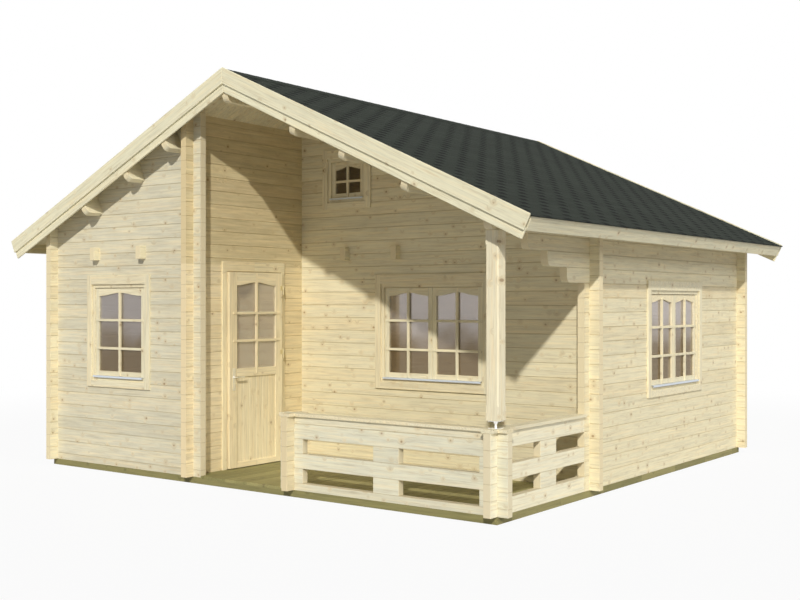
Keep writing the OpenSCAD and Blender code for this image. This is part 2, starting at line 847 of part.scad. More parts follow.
// a lever on a long plate, drawn outwards from the face at y = 0
module lever_handle() {
    translate([-plate_w/2, -plate_t, -plate_h*3/5]) cube([plate_w, plate_t, plate_h]);
    translate([0, -plate_t, 0]) rotate([90, 0, 0]) cylinder(d = lever_d, h = neck_l);
    translate([-lever_d/2, -plate_t - neck_l, 0]) rotate([0, 90, 0]) cylinder(d = lever_d, h = lever_l);
}
module door_handles() {
    color(steel) at_door() translate([handle_in - leaf_w/2, -leaf_out, leaf_bottom + handle_up]) {
        lever_handle();
        translate([0, leaf_t, 0]) mirror([0, 1, 0]) lever_handle();
    }
}

hinge_x = leaf_w/2 + leaf_gap;           // axis of the hinges, beside the leaf
hinge_y = -leaf_out - hinge_flap;        // and before its outer face
knuckle_l = hinge_l/2 - fit;

module frame_hinges() {
    color(steel) at_door() for (z = hinge_z) translate([hinge_x, 0, z]) {
        translate([0, hinge_y, 0]) cylinder(r = hinge_r, h = knuckle_l);
        translate([0, hinge_y, 0]) cylinder(r = pin_r, h = hinge_l - hinge_flap);
        translate([-hinge_flap/2, hinge_y, 0]) cube([hinge_flap, -hinge_y - casing_t, knuckle_l]);
        translate([-hinge_flap/2, -casing_t - hinge_flap, 0]) cube([flap_w, hinge_flap, knuckle_l]);
    }
}
module leaf_hinges() {
    color(steel) at_door() for (z = hinge_z) translate([hinge_x, 0, z]) difference() {
        union() {
            translate([0, hinge_y, hinge_l/2 + fit]) cylinder(r = hinge_r, h = knuckle_l);
            translate([-leaf_gap - flap_w, hinge_y, hinge_l/2 + fit])
                cube([leaf_gap + flap_w, hinge_flap, knuckle_l]);
        }
        translate([0, hinge_y, 0]) cylinder(r = pin_r + fit/6, h = hinge_l + e);
    }
}

// ---- porch railing, post and foot ----
front_ends = [col_x - log_end, xr + log_end];
side_ends = [yf - log_end, yp - log_end];
front_gap = [col_x + log_t + end_block, xr - log_t - end_block];
side_gap = [yf + log_t + end_block, yp - log_end];
function middle_of(gap) = (gap[0] + gap[1])/2;

module front_rail(x0, x1, z0, z1) {
    difference() {
        x_logs(yf, x0, x1, z0, z1);
        housing_in_x(col_x, yf, rail_logs - 1);
        housing_in_x(xr - log_t, yf, rail_logs - 1);
    }
}
module side_rail(y0, y1, z0, z1) {
    difference() {
        y_logs(xr - log_t, y0, y1, z0, z1, z1);
        housing_in_y(xr - log_t, yf, rail_logs);
    }
}

module front_rail_logs() {
    color(pine) {
        front_rail(front_ends[0], front_ends[1], bearer_h, x_joint(0));
        front_rail(front_ends[0], front_ends[1], x_joint(1), x_joint(2));
        front_rail(front_ends[0], front_ends[1], x_joint(3), rail_top);
    }
}
module front_rail_blocks() {
    mid = middle_of(front_gap);
    color(pine) for (k = [0, 2]) {
        front_rail(front_ends[0], front_gap[0], x_joint(k), x_joint(k + 1));
        front_rail(mid - middle_block/2, mid + middle_block/2, x_joint(k), x_joint(k + 1));
        front_rail(front_gap[1], front_ends[1], x_joint(k), x_joint(k + 1));
    }
}
module side_rail_logs() {
    color(pine) for (k = [0, 2, 4]) side_rail(side_ends[0], side_ends[1], y_joint(k), y_joint(k + 1));
}
module side_rail_blocks() {
    mid = middle_of(side_gap);
    color(pine) for (k = [1, 3]) {
        side_rail(side_ends[0], side_gap[0], y_joint(k), y_joint(k + 1));
        side_rail(mid - middle_block/2, mid + middle_block/2, y_joint(k), y_joint(k + 1));
    }
}
module railing_column() {
    color(pine) difference() {
        y_logs(col_x, yf - log_end, yf + log_t + log_end, bearer_h, rail_top, rail_top);
        housing_in_y(col_x, yf, rail_logs);
    }
}

// caps over the rails, with short returns over the log ends at both crossings
module railing_caps() {
    over = (cap_w - log_t)/2;
    back = yf + log_t + over;
    color(planed) {
        translate([front_ends[0], yf - over, rail_top]) cube([front_ends[1] - front_ends[0], cap_w, cap_t]);
        translate([col_x - over, yf - log_end, rail_top]) cube([cap_w, 2*log_end + log_t, cap_t]);
        translate([xr - log_t - over, yf - log_end, rail_top]) cube([cap_w, log_end, cap_t]);
        translate([xr - log_t - over, back + fit, rail_top]) cube([cap_w, side_ends[1] - back - fit, cap_t]);
    }
}

post_x = xr - log_t/2;
post_y = yf + log_t/2;
post_z = cap_top + foot_gap;
post_h = beam_z - post_z;

// cuts one upright corner of the post, with ends that run out at 45 degrees
module stopped_chamfer() {
    edge = post_w/sqrt(2);
    deep = post_chamfer/sqrt(2);
    rotate([90, 0, 0]) translate([0, 0, -post_w]) linear_extrude(2*post_w)
        polygon([[edge - deep, chamfer_stop + deep], [edge - deep, post_h - chamfer_stop - deep],
                 [edge + e, post_h - chamfer_stop + e], [edge + e, chamfer_stop - e]]);
}
module porch_post() {
    color(pine) translate([post_x, post_y, post_z]) difference() {
        translate([-post_w/2, -post_w/2, 0]) cube([post_w, post_w, post_h]);
        for (a = [45:90:315]) rotate([0, 0, a]) stopped_chamfer();
    }
}

module post_foot() {
    plate = [foot_plate, foot_plate, foot_plate_t];
    color(steel) translate([post_x, post_y, cap_top]) {
        translate([-foot_plate/2, -foot_plate/2, 0]) cube(plate);
        translate([-foot_plate/2, -foot_plate/2, foot_gap - foot_plate_t]) cube(plate);
        cylinder(d = foot_rod_d, h = foot_gap);
        translate([0, 0, foot_gap - foot_plate_t - foot_nut_h])
            cylinder(d = foot_nut_d, h = foot_nut_h, $fn = 6);
    }
}

perimeter_bearers();
floor_bearers();
porch_deck();
room_floor();
front_wall();
left_wall();
back_wall();
right_wall();
right_eave_logs();
porch_back_wall();
door_wall_front();
door_wall_back();
door_wall_over();
loft_joists();
purlins();
left_roof_boards();
right_roof_boards();
left_shingles();
right_shingles();
left_upper_barges();
right_upper_barges();
left_lower_barges();
right_lower_barges();
eave_fascias();
window_frames();
window_casings();
window_sashes();
window_glass();
window_drips();
door_frame();
door_casing();
door_leaf();
door_glass();
door_handles();
frame_hinges();
leaf_hinges();
front_rail_logs();
front_rail_blocks();
side_rail_logs();
side_rail_blocks();
railing_column();
railing_caps();
porch_post();
post_foot();
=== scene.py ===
"""Dresses the holiday cabin with its wood, glass and metal, and lays its roof covering course by course."""

import math

import bmesh
import bpy
from bpy.props import FloatProperty, FloatVectorProperty, PointerProperty
from mathutils import Matrix, Vector


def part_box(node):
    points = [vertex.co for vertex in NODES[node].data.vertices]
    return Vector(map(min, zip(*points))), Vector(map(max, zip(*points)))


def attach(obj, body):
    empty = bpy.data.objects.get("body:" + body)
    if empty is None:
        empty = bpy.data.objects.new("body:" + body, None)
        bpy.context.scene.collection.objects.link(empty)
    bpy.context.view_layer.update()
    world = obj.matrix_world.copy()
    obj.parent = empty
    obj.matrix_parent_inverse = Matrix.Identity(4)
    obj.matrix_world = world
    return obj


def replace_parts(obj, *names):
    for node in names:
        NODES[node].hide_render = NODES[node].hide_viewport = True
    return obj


bl_info = {
    "name": "Holiday Cabin Finishes",
    "version": (1, 0, 0),
    "blender": (4, 5, 0),
    "location": "3D View > Sidebar > Cabin",
    "description": "Dresses the log cabin with its wood, roof covering, glass and metal",
    "category": "Object",
}

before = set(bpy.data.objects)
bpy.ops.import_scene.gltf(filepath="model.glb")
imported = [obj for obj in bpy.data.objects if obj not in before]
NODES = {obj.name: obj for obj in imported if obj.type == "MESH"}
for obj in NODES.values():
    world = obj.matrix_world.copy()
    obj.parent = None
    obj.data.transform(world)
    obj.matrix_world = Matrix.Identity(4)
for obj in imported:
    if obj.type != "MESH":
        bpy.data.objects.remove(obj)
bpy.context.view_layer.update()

# ---- places of the construction, in metres ----
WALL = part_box("front_wall")
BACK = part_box("back_wall")
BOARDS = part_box("right_roof_boards")
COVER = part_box("right_shingles")
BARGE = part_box("right_upper_barges")
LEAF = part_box("door_leaf")

LOG_H = 0.135                             # height of a course of logs
LOG_T = 0.07                              # thickness of a log
LOG_END = 0.1                             # length of the log ends past a corner
BEARER_H = 0.065                          # height of the bearers
PORCH_W = 3.5                             # width of the porch
DECK_BOARD = 0.145                        # width of the porch boards
FLOOR_BOARD = 0.088                       # width of the boards in the room's floor
HALF_W = BACK[1].x - LOG_END              # outer face of the side walls
FRONT_Y = WALL[0].y                       # outer face of the front wall
DOOR_X = HALF_W - PORCH_W                 # outer face of the door wall

PITCH = math.radians(24.75)
COS, SIN = math.cos(PITCH), math.sin(PITCH)
BARGE_TOP = 0.037                         # top of the upper barges, off the roof frame
COVER_TOP = 0.027                         # top of the construction's covering, off the roof frame
BOARD_T = 0.019                           # thickness of the roof boards
FRAME_GAP = 0.0003                        # under the roof boards, and again under the felt
APEX_Z = BARGE[1].z - BARGE_TOP/COS       # top of the roof frame at the ridge
COVER_Y = COVER[1].y                      # end of the covering along the ridge
COVER_FOOT = (COVER[1].x - COVER_TOP*SIN)/COS   # lower edge of the covering, down the slope
LOWEST_NOTCH = -2.67                      # middle of a notch in the lowest course

# middle of each window along its wall, and half its opening
FRONT_WINDOW = (-1.768, 0.44)
PORCH_WINDOW = (1.098, 0.65)
ATTIC_WINDOW = (0.0, 0.2725)
SIDE_WINDOW = (0.825, 0.65)
ATTIC_Z = 2.7                             # height that only the attic window lies over
WINDOW_REACH = 0.2                        # no window reaches further in from its wall's outer face
CASING_LAP = 0.014                        # lap of the window casings over the opening
JAMB_W = 0.05                             # width of the window frames in the opening
SASH_W = 0.052                            # a sash's stile and most of the gap beside it
HALF_BAR = 0.0131                         # half the width of a glazing bar

STILE_W = 0.107                           # width of the door's stiles
PANEL_LOW, PANEL_HIGH = 0.057, 0.928      # ends of the door's panel, over the foot of the leaf
PANEL_BOARD = 0.096                       # width of the boards in the panel
CAP_LAP = 0.025                           # lap of the railing caps over the logs
CAP_JOINT = 2.0                           # the railing caps are of other boards past here
BARGE_SPLIT = -0.09                       # off the roof frame, where the lower barges lap the upper ones
SLACK = 0.0005                            # takes in the faces that lie right on a limit


# ---- sizes and colours that a user may change ----
def length(name, value, about):
    return FloatProperty(name=name, description=about, default=value, min=0.0,
                         subtype="DISTANCE", unit="LENGTH")


def colour(name, value, about):
    return FloatVectorProperty(name=name, description=about, default=value, min=0.0, max=1.0,
                               size=3, subtype="COLOR")


class CabinSizes(bpy.types.PropertyGroup):
    """Sizes of the roof covering and of the fine trim"""
    course: length("Course", 0.103, "Visible height of a course of shingles")
    tab_pitch: length("Tab pitch", 0.3333, "Distance from one notch to the next in a course")
    notch_w: length("Notch width", 0.112, "Width of the notch between two tabs")
    notch_h: length("Notch height", 0.052, "Height of the notch between two tabs")
    course_shift: length("Course shift", 0.150, "Shift of each course against the one below")
    tab_t: length("Tab thickness", 0.0015, "Thickness of a shingle")
    felt_t: length("Felt thickness", 0.0055, "Thickness of the felt under the shingles")
    ridge_w: length("Ridge piece", 0.155, "Width of the ridge pieces on each slope")
    ridge_step: length("Ridge step", 0.145, "Visible length of a ridge piece")
    board_w: length("Roof board", 0.095, "Width of the roof boards")
    board_v: length("Roof board joint", 0.004, "Depth of the V joint between roof boards")
    softness: length("Edge softness", 0.003, "Radius of planed edges")
    verge_softness: length("Barge edge softness", 0.006, "Radius of the edges of the barge and eave boards")


class CabinColours(bpy.types.PropertyGroup):
    """Colours of the cabin's finishes"""
    pine: colour("Pine", (0.83, 0.765, 0.545), "Fresh planed logs")
    # painted shade: the front wall's logs are greyer and darker than the other walls' to stand for the
    # cooler, dimmer light on that face
    pine_front_shade: colour("Grey pine", (0.71, 0.675, 0.525), "Logs of the front wall, a little weathered")
    pine_rail: colour("Rail pine", (0.79, 0.77, 0.61), "Logs of the front railing")
    pine_pale: colour("Pale pine", (0.90, 0.86, 0.67), "Side railing and porch post")
    pine_barge: colour("Barge pine", (0.86, 0.83, 0.62), "Barge boards")
    pine_eave: colour("Eave pine", (0.77, 0.73, 0.53), "Boards along the eaves")
    pine_door: colour("Door pine", (0.87, 0.77, 0.51), "Frame and casing of the door")
    pine_leaf: colour("Leaf pine", (0.926, 0.814, 0.551), "Rails, stiles and panel of the door leaf")
    # painted light: the next two are lighter copies of the door wall's logs, for the light that falls on the
    # parts beside the door
    pine_corner_lit: colour("Corner pine", (0.832, 0.697, 0.425), "Logs between the door and the inner corner")
    pine_entrance_lit: colour("Entrance pine", (0.86, 0.74, 0.49), "Logs between the door and the front wall")
    pine_ends: colour("End pine", (0.72, 0.635, 0.43), "Short logs of the railing's corner")
    # painted shade: the logs over the door are a darker, warmer copy, for the shade of the porch roof there
    pine_shaded: colour("Shaded pine", (0.68, 0.57, 0.335), "Logs over the door")
    pine_warm: colour("Warm pine", (0.81, 0.655, 0.385), "Heartwood in some of the logs")
    pine_grain: colour("Pine grain", (0.60, 0.47, 0.26), "Late wood lines")
    pine_dull: colour("Dull pine", (0.71, 0.66, 0.46), "Greenish sapwood")
    knot: colour("Knot", (0.27, 0.155, 0.065), "Knots")
    joinery: colour("Joinery", (0.85, 0.79, 0.58), "Windows, railing caps and the room's floor")
    treated: colour("Treated wood", (0.27, 0.25, 0.095), "Pressure treated bearers and deck")
    treated_pale: colour("Pale treated wood", (0.40, 0.36, 0.15), "Paler streaks in the treated wood")
    shingle: colour("Shingle", (0.026, 0.032, 0.026), "Mineral granules of the tabs")
    # the notch colour is partly the felt's own darker tone and partly painted shade in the notches
    notch: colour("Notch", (0.006, 0.008, 0.007), "Felt that shows in the notches")
    # the drips' blue tint is a painted reflection of the sky on the sheet
    drip: colour("Drip", (0.66, 0.72, 0.80), "Painted sheet of the drips")
    steel: colour("Steel", (0.97, 0.96, 0.92), "Handles and foot")
    zinc: colour("Zinc", (0.78, 0.69, 0.44), "Passivated hinges")
    # the glazing tones paint what the panes show: the brown one the dim room behind them, the pale one a
    # painted reflection of the sky in the upper panes
    glass: colour("Glass", (0.46, 0.35, 0.22), "Double glazing before the dim room")
    glass_sky_reflection: colour("Pale glass", (0.82, 0.75, 0.71), "Glazing where it is paler")
    # the door glass's pale tone is partly a painted reflection; its metallic part mirrors the surroundings
    glass_door: colour("Door glass", (0.82, 0.75, 0.66), "Glass of the door")
    # painted shade: the attic panes take this dark tone for the unlit attic behind them
    glass_attic: colour("Attic glass", (0.30, 0.24, 0.165), "Glazing before the dark attic")


# ---- shader maths ----
class Val:
    """A number, a vector or a colour on its way through a node tree."""

    def __init__(self, nodes, socket):
        self.nodes, self.socket = nodes, socket

    def _with(self, operation, *values):
        return self.nodes.math(operation, *values)

    def __add__(self, other):
        return self._with("ADD", self, other)

    def __sub__(self, other):
        return self._with("SUBTRACT", self, other)

    def __rsub__(self, other):
        return self._with("SUBTRACT", other, self)

    def __mul__(self, other):
        return self._with("MULTIPLY", self, other)

    def __truediv__(self, other):
        return self._with("DIVIDE", self, other)

    def __gt__(self, other):
        return self._with("GREATER_THAN", self, other)

    def __lt__(self, other):
        return self._with("LESS_THAN", self, other)

    __radd__ = __add__
    __rmul__ = __mul__


class Nodes:
    """A node tree that is written as expressions."""

    def __init__(self, tree):
        self.tree = tree
        self.tree.nodes.clear()

    def feed(self, node, sockets):
        """Gives sockets their values, and links those that vary."""
        for key, value in sockets.items():
            if isinstance(value, Val):
                self.tree.links.new(value.socket, node.inputs[key])
            else:
                node.inputs[key].default_value = value

    def node(self, kind, settings=None, sockets=None):
        """Makes any node: its settings first, then the values and links of its sockets."""
        made = self.tree.nodes.new(kind)
        for key, value in (settings or {}).items():
            setattr(made, key, value)
        self.feed(made, sockets or {})
        return made

    def math(self, operation, *values):
        made = self.node("ShaderNodeMath", {"operation": operation}, dict(enumerate(values)))
        return Val(self, made.outputs[0])

    def absolute(self, value):
        return self.math("ABSOLUTE", value)

    def floor(self, value):
        return self.math("FLOOR", value)

    def high(self, a, b):
        return self.math("MAXIMUM", a, b)

    def low(self, a, b):
        return self.math("MINIMUM", a, b)

    def pick(self, mask, a, b):
        """The number a where mask is 0, and b where it is 1."""
        return a + (b - a)*mask

    def shown(self):
        """1 for what the camera sees, straight or in glass and metal, and 0 for light on its way."""
        path = self.node("ShaderNodeLightPath")
        seen, mirrored, through = (Val(self, path.outputs[ray]) for ray in
                                   ("Is Camera Ray", "Is Glossy Ray", "Is Transmission Ray"))
        return self.high(self.high(seen, mirrored), through)


class Finish(Nodes):
    """A procedural material. Numbers and colours alone are worked out in Python."""

    def __init__(self, name):
        self.material = bpy.data.materials.new(name)
        self.material.use_nodes = True
        super().__init__(self.material.node_tree)
        self.shader = self.node("ShaderNodeBsdfPrincipled")
        self.out = self.node("ShaderNodeOutputMaterial", {}, {"Surface": Val(self, self.shader.outputs[0])})

    def step(self, value, start, end):
        """0 before start and 1 after end, with a smooth change between them."""
        made = self.node("ShaderNodeMapRange", {"interpolation_type": "SMOOTHSTEP"},
                         {"Value": value, "From Min": start, "From Max": end})
        return Val(self, made.outputs["Result"])

    def point(self, x, y, z):
        made = self.node("ShaderNodeCombineXYZ", {}, {"X": x, "Y": y, "Z": z})
        return Val(self, made.outputs[0])

    def parts(self, vector):
        made = self.node("ShaderNodeSeparateXYZ", {}, {0: vector})
        return [Val(self, socket) for socket in made.outputs]

    def place(self, centre=(0, 0, 0)):
        """Object coordinates, measured from centre, as three numbers."""
        at = self.node("ShaderNodeTexCoord")
        moved = self.node("ShaderNodeMapping", {"vector_type": "TEXTURE"},
                          {"Vector": Val(self, at.outputs["Object"]), "Location": centre})
        return self.parts(Val(self, moved.outputs[0]))

    def facing(self, axis):
        """How squarely the surface faces along an axis: 0 is x, and 1 is y."""
        at = self.node("ShaderNodeTexCoord")
        return self.absolute(self.parts(Val(self, at.outputs["Normal"]))[axis])

    def noise(self, vector, scale, detail=2.0, roughness=0.5):
        made = self.node("ShaderNodeTexNoise", {},
                         {"Vector": vector, "Scale": scale, "Detail": detail, "Roughness": roughness})
        return Val(self, made.outputs["Fac"])

    def chance(self, value):
        """A number from 0 to 1 that is the same wherever value is the same."""
        made = self.node("ShaderNodeTexWhiteNoise", {"noise_dimensions": "1D"}, {"W": value})
        return Val(self, made.outputs["Value"])

    def cells(self, vector, scale):
        """The distance to the middle of a scattered cell, and two numbers that belong to it."""
        made = self.node("ShaderNodeTexVoronoi", {}, {"Vector": vector, "Scale": scale})
        own = self.parts(Val(self, made.outputs["Color"]))
        return Val(self, made.outputs["Distance"]), own[0], own[1]

    @staticmethod
    def rgba(tone):
        return tone if isinstance(tone, Val) else (*tone, 1)

    def blend(self, factor, a, b):
        """Mixes two colours."""
        if not any(isinstance(value, Val) for value in (factor, a, b)):
            return tuple(p + (q - p)*factor for p, q in zip(a, b))
        made = self.node("ShaderNodeMix", {"data_type": "RGBA"},
                         {"Factor": factor, 6: self.rgba(a), 7: self.rgba(b)})
        return Val(self, made.outputs[2])

    def scaled(self, tone, amount):
        """A colour made lighter or darker by a number."""
        if not any(isinstance(value, Val) for value in (tone, amount)):
            return tuple(part*amount for part in tone)
        made = self.node("ShaderNodeVectorMath", {"operation": "SCALE"},
                         {0: tone if isinstance(tone, Val) else tuple(tone), "Scale": amount})
        return Val(self, made.outputs[0])

    def surface(self, tone, roughness, height=None, depth=0.0, **others):
        """Gives the shader its colour, roughness and bump, and the sockets that are named besides."""
        sockets = {name.replace("_", " "): value for name, value in others.items()}
        if height is not None:
            bump = self.node("ShaderNodeBump", {}, {"Height": height, "Distance": depth, "Strength": 1.0})
            sockets["Normal"] = Val(self, bump.outputs[0])
        self.feed(self.shader, {"Base Color": tone, "Roughness": roughness, **sockets})
        return self.material


# ---- wood ----
KNOT_CELLS = 12.0                         # cells to the metre that may hold a knot
PATCHES, STREAKS, LINES, FIBRES = 11, 34, 68, 560   # how fine each is across the grain
RINGS = 1500                              # how fine the growth rings are on cut ends
SEAM_EDGE, SEAM_FLOOR = -0.0052, -0.0012  # sides of the joint between two logs, from its middle


def wood(f, along, across, deep, board, tones, knots=0.30, end=None, local=None, spread=0.3, gloss=0.6,
         cut_light=1.03):
    """Softwood with its grain along one direction. board numbers the separate boards or logs, and
    tones holds its pale, warm, grain, dull and knot colours. end is 1 on a cut end, and local the place
    on it from the pith."""
    pale, warm, grain, dull, knot = tones
    shift = f.chance(board)*9.0
    distance, chosen, size = f.cells(f.point(along*0.8 + shift*11, across + shift*17, deep*0.3), KNOT_CELLS)
    radius = size*0.07 + 0.075
    there = chosen > (1 - knots)
    core = (1 - f.step(distance, radius*0.6, radius*1.25))*there
    halo = (1 - f.step(distance, radius*0.9, radius*3.8))*there
    swerve = halo*2.4
    streak = f.noise(f.point(along*1.9 + shift*3.1, across*STREAKS + shift*7.7 + swerve*0.5, deep*STREAKS),
                     1.0, 3.0, 0.6)
    patch = f.noise(f.point(along*3.2 + shift, across*PATCHES + shift*2.3, deep*PATCHES), 1.0, 3.0, 0.55)
    line = f.noise(f.point(along*2.8 + shift*5.3, across*LINES + shift*31 + swerve, deep*LINES),
                   1.0, 3.0, 0.7)
    fine = f.noise(f.point(along*16 + shift, across*FIBRES, deep*FIBRES), 1.0, 2.0, 0.5)
    warmth = f.step(f.chance(board + 0.37), 0.40, 1.0)*spread + f.step(streak, 0.46, 0.70)*0.32
    body = f.blend(f.low(warmth, 1.0), pale, warm)
    body = f.blend(f.step(patch, 0.46, 0.74)*0.28, body, dull)
    body = f.blend(f.step(line, 0.48, 0.74)*0.34, body, grain)
    light = 0.955 + (f.chance(board + 0.71) - 0.5)*0.10 + (fine - 0.5)*0.14 - (line - 0.5)*0.36
    body = f.scaled(body, light + (patch - 0.5)*0.26 + (streak - 0.5)*0.38)
    body = f.blend(halo*0.40, body, grain)
    body = f.blend(core*(0.26 + size*0.45), body, knot)
    if end is not None:
        y, z = local
        radial = f.math("SQRT", y*y + z*z)
        wobble = f.noise(f.point(y*30, z*30, shift), 1.0, 2.0)
        ring = f.math("SINE", radial*RINGS + wobble*9)*0.5 + 0.5
        cut = f.blend(ring*0.30, f.blend(0.35, f.scaled(pale, cut_light), warm), f.scaled(grain, 0.95))
        body = f.blend(end, body, cut)
    height = line*0.35 + fine*0.3 + core*0.4
    roughness = gloss + line*0.12 - core*0.12
    return body, roughness, height


def pine_tones(colours, pale=None):
    """The pale, warm, grain, dull and knot colours of untreated pine."""
    return pale or colours.pine, colours.pine_warm, colours.pine_grain, colours.pine_dull, colours.knot


def log_finish(name, colours, direction, pale=None, warm=0.3, cut_light=1.03):
    """Logs in courses. direction is x for the walls that run across, and y for the others."""
    f = Finish(name)
    x, y, z = f.place()
    if direction == "x":
        along, deep, axis, foot = x, y, 0, BEARER_H + 0.5*LOG_H
    else:
        along, deep, axis, foot = y, x, 1, BEARER_H
    count = (z - foot)/LOG_H
    course = f.floor(count)
    local = (count - course - 0.5)*LOG_H
    board = course + f.floor(deep*1.7 + 40)*57
    end = f.step(f.facing(axis), 0.7, 0.8)
    body, roughness, height = wood(f, along, z, deep, board, pine_tones(colours, pale), knots=0.50, end=end,
                                   local=(local + 0.03, deep*0.4 + 0.01), spread=warm, cut_light=cut_light)
    seam = f.step(f.absolute(local) - LOG_H/2, SEAM_EDGE, SEAM_FLOOR)
    body = f.blend(seam*0.45, body, f.scaled(colours.pine_grain, 0.76))
    return f.surface(body, roughness, height, 0.0007)


def beam_finish(name, colours):
    """Purlins and joists that run front to back."""
    f = Finish(name)
    x, y, z = f.place()
    board = f.floor(x*2.2 + 50)
    end = f.step(f.facing(1), 0.9, 0.95)
    body, roughness, height = wood(f, y, z, x, board, pine_tones(colours), end=end, local=(x*0.6, z - 2.5))
    return f.surface(body, roughness, height, 0.0007)


def trim_finish(name, colours, split, warm=0.3, knots=0.40, pale=None, centre=(0, 0, 0)):
    """Planed boards. split gives along, across, deep and board from the finish and its place."""
    f = Finish(name)
    along, across, deep, board = split(f, *f.place(centre))
    tones = pine_tones(colours, pale or colours.joinery)
    body, roughness, height = wood(f, along, across, deep, board, tones, knots=knots, spread=warm, gloss=0.56)
    return f.surface(body, roughness, height, 0.0005)


def down_slope(f, x, over_apex):
    """Distance from the ridge down the slope."""
    return f.absolute(x)*COS - over_apex*SIN


# ---- meshes ----
WELD = 1e-5                               # corners closer than this are one
FLAT = math.radians(0.5)                  # faces that meet at less are one
SHARP = math.radians(25)                  # edges that turn by more are planed,
SHORTEST = 3                              # where they are longer than this many radii


def slope_matrix(side):
    """Turns distance down the slope, place along the ridge and height off the roof frame into x, y, z."""
    return Matrix(((side*COS, 0, side*SIN, 0), (0, 1, 0, 0), (-SIN, 0, COS, APEX_Z), (0, 0, 0, 1)))


def add_box(mesh, low, high, placed=None):
    """A box between two corners, moved by the matrix placed."""
    low, high = Vector(low), Vector(high)
    matrix = Matrix.Translation((low + high)/2) @ Matrix.Diagonal((*(high - low), 1))
    made = bmesh.ops.create_cube(mesh, size=1, matrix=matrix)
    if placed is not None:
        bmesh.ops.transform(mesh, matrix=placed, verts=made["verts"])
    return made["verts"]


def mitre(verts, foot):
    """Cuts a slab upright at the ridge, where it meets the slab of the other slope."""
    for v in verts:
        if v.co.x < foot/2:
            v.co.x = -v.co.z*SIN/COS


def keep(name, mesh, materials, body="cabin"):
    """Turns a finished bmesh into a piece that rides on a body."""
    bmesh.ops.recalc_face_normals(mesh, faces=mesh.faces)
    data = bpy.data.meshes.new(name)
    mesh.to_mesh(data)
    mesh.free()
    for material in materials:
        data.materials.append(material)
    piece = bpy.data.objects.new(name, data)
    bpy.context.scene.collection.objects.link(piece)
    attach(piece, body)
    return piece


def finish_nodes(names, material):
    """Gives pieces of the construction their finish."""
    for name in names:
        for held in NODES[name].material_slots:
            held.link = "OBJECT"
            held.material = material


def planed(names, radius, material, body="cabin"):
    """Copies of construction pieces, with their sharp outer edges planed round, that stand for them."""
    finish_nodes(names, material)
    for name in names:
        mesh = bmesh.new()
        mesh.from_mesh(NODES[name].data)
        bmesh.ops.remove_doubles(mesh, verts=mesh.verts, dist=WELD)
        bmesh.ops.dissolve_limit(mesh, angle_limit=FLAT, verts=mesh.verts, edges=mesh.edges)
        sharp = [e for e in mesh.edges if len(e.link_faces) == 2 and e.is_convex
                 and e.calc_face_angle(0) > SHARP and e.calc_length() > SHORTEST*radius]
        bmesh.ops.bevel(mesh, geom=sharp, offset=radius, segments=2, profile=0.5, affect="EDGES", material=-1,
                        clamp_overlap=True)
        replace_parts(keep(name + "_planed", mesh, [material], body), name)


class CabinStep:
    """What every step of the dressing shares."""
    bl_options = {"REGISTER", "UNDO"}

    def sizes(self, context):
        return context.scene.cabin_sizes

    def colours(self, context):
        return context.scene.cabin_colours


class CABIN_OT_logs(CabinStep, bpy.types.Operator):
    """Gives the log walls, railings, purlins and joists their wood"""
    bl_idname = "cabin.logs"
    bl_label = "Log walls and beams"

    def execute(self, context):
        colours, soft = self.colours(context), self.sizes(context).softness
        across = log_finish("logs_across", colours, "x")
        lengthways = log_finish("logs_lengthways", colours, "y")
        # the front wall's greyer, darker logs are painted shade
        finish_nodes(["front_wall"], log_finish("front_logs_shaded", colours, "x", colours.pine_front_shade, 0.12))
        finish_nodes(["back_wall", "porch_back_wall"], across)
        finish_nodes(["left_wall", "right_wall", "right_eave_logs"], lengthways)
        # lit and shaded copies of the door wall's logs: each part's tone paints the light or shade that falls
        # on it
        for wall, name, pale in (("door_wall_front", "entrance_logs_lit", colours.pine_entrance_lit),
                                 ("door_wall_back", "corner_logs_lit", colours.pine_corner_lit),
                                 ("door_wall_over", "door_wall_logs_shaded", colours.pine_shaded)):
            finish_nodes([wall], log_finish(name, colours, "y", pale, 0.45))
        planed(["front_rail_logs", "front_rail_blocks"], soft,
               log_finish("front_rail", colours, "x", colours.pine_rail, 0.15))
        planed(["side_rail_logs", "side_rail_blocks"], soft,
               log_finish("side_rail", colours, "y", colours.pine_pale, 0.15, cut_light=0.87))
        planed(["railing_column"], soft,
               log_finish("railing_ends", colours, "y", colours.pine_ends))
        planed(["purlins", "loft_joists"], soft, beam_finish("beams", colours))
        return {"FINISHED"}


class CABIN_OT_base(CabinStep, bpy.types.Operator):
    """Gives the bearers, the porch deck and the room floor their wood"""
    bl_idname = "cabin.base"
    bl_label = "Base and floors"

    def execute(self, context):
        colours, soft = self.colours(context), self.sizes(context).softness

        def deck(f, x, y, z):
            return y, x, z, f.floor((x - DOOR_X)/DECK_BOARD)

        def bearers(f, x, y, z):
            turned = f.step(f.facing(0), 0.5, 0.6)
            return f.pick(turned, x, y), z, f.pick(turned, y, x), f.floor(y*1.2 + 30)

        def cross_bearers(f, x, y, z):
            return x, z, y, f.floor(y*3 + 30)

        def floor_boards(f, x, y, z):
            return x, y, z, f.floor(y/FLOOR_BOARD + 80)

        for node, split, light in (("porch_deck", deck, 0.95), ("perimeter_bearers", bearers, 0.78),
                                   ("floor_bearers", cross_bearers, 0.78)):
            f = Finish("treated_" + node)
            along, across, deep, board = split(f, *f.place())
            pale, dark = f.scaled(colours.treated_pale, light), f.scaled(colours.treated, light)
            tones = (pale, dark, f.scaled(dark, 0.50), dark, f.scaled(colours.knot, 0.5))
            body, roughness, height = wood(f, along, across, deep, board, tones, spread=0.9, gloss=0.68)
            planed([node], soft, f.surface(body, roughness, height, 0.0008))
        finish_nodes(["room_floor"], trim_finish("floor_boards", colours, floor_boards))
        return {"FINISHED"}


